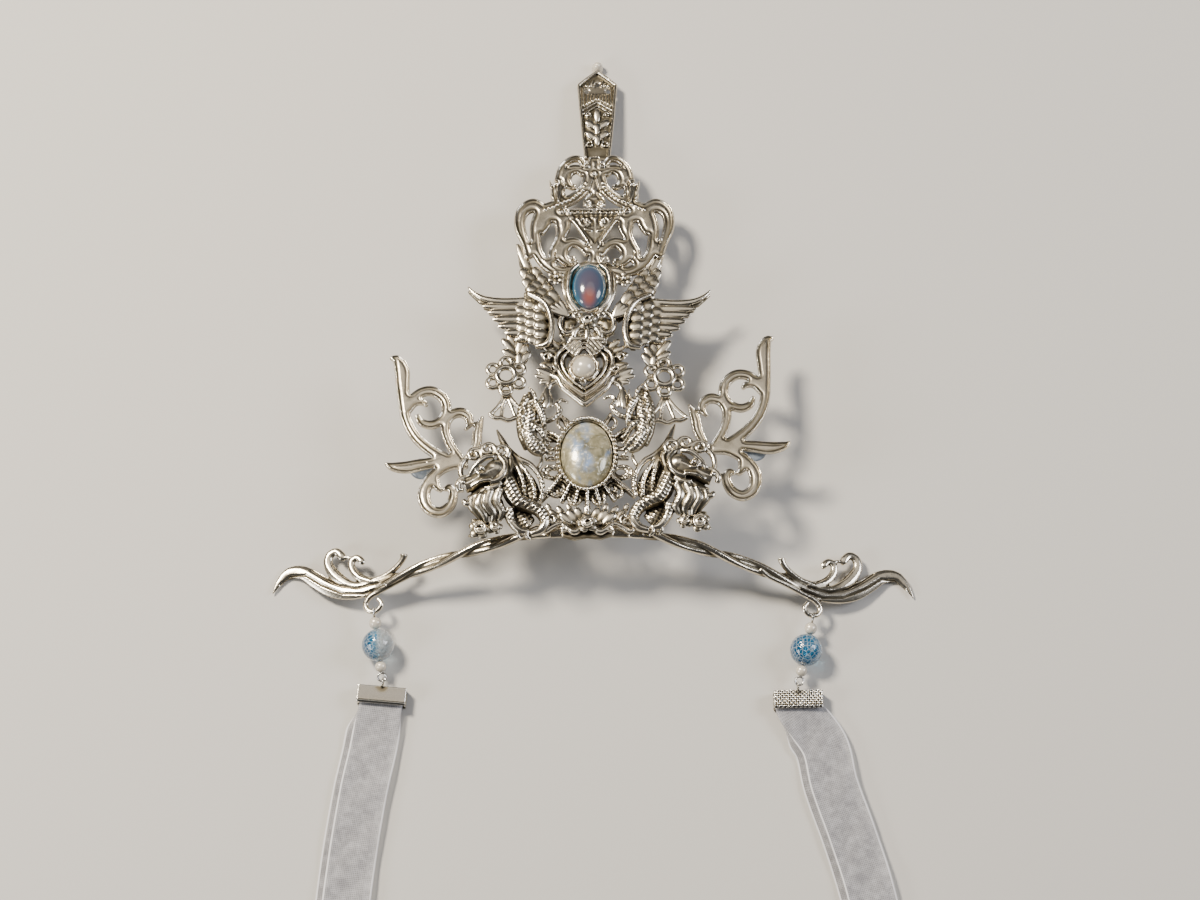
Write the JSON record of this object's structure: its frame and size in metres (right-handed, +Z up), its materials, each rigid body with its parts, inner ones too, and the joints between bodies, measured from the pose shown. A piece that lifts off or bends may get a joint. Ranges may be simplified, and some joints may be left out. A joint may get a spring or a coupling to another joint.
{
  "type": "hair crown",
  "caption": "Ornate cast hair crown with scrolls, winged creatures, set stones, a headband, and ribbon streamers on bead drops, lying on its back.",
  "frame": {"origin": "bottom centre of the crown's box, on the surface it lies on", "axes": "+X across the crown to the viewer's right, +Y up the crown towards its finial, +Z up from the surface it lies on"},
  "size_m": [0.184, 0.2728, 0.0277],
  "materials": {
    "silver": "antiqued bright silver plate, recesses left darker",
    "dark_silver": "satin, antiqued",
    "steel": "smooth drawn wire",
    "opal": "cloudy blue with an orange glow, polished cabochon",
    "moonstone": "milky with pale flashes, polished cabochon",
    "pearl": "pearly lustre",
    "crackle": "clear and blue with fine inner cracks",
    "resin": "cloudy clear dome",
    "organza": "sheer organza with brighter woven edges"
  },
  "bodies": {
    "root": {"finial_plate": "silver", "scroll_plate": "silver", "rose_mask": "silver", "heart_filigree": "silver", "pearl_cup": "silver", "chevron_bar": "silver", "sunburst_plate": "silver", "moonstone_bezel": "silver", "base_rose": "silver", "opal_setting": "silver", "headband": "silver", "upper_wing_left": "silver", "upper_wing_right": "silver", "mid_wing_left": "silver", "mid_wing_right": "silver", "leaf_sprig_left": "silver", "leaf_sprig_right": "silver", "flower_ring_left": "silver", "flower_ring_right": "silver", "fan_left": "silver", "fan_right": "silver", "small_dragon_left": "silver", "small_dragon_right": "silver", "winged_horse_left": "silver", "winged_horse_right": "silver", "horse_rose_left": "silver", "horse_rose_right": "silver", "side_scroll_left": "silver", "side_scroll_right": "silver", "finial_bead": "pearl", "blossom_left": "dark_silver", "blossom_right": "dark_silver", "opal_stone": "opal", "moonstone": "moonstone", "pearl_stone": "pearl", "clear_pad_left": "resin", "eye_pin_left": "steel", "upper_pearl_left": "pearl", "lower_pearl_left": "pearl", "crackle_bead_left": "crackle", "ribbon_clamp_left": "dark_silver", "ribbon_back_left": "organza", "ribbon_front_left": "organza", "clear_pad_right": "resin", "eye_pin_right": "steel", "upper_pearl_right": "pearl", "lower_pearl_right": "pearl", "crackle_bead_right": "crackle", "ribbon_clamp_right": "dark_silver", "ribbon_back_right": "organza", "ribbon_front_right": "organza"}
  },
  "joints": []
}
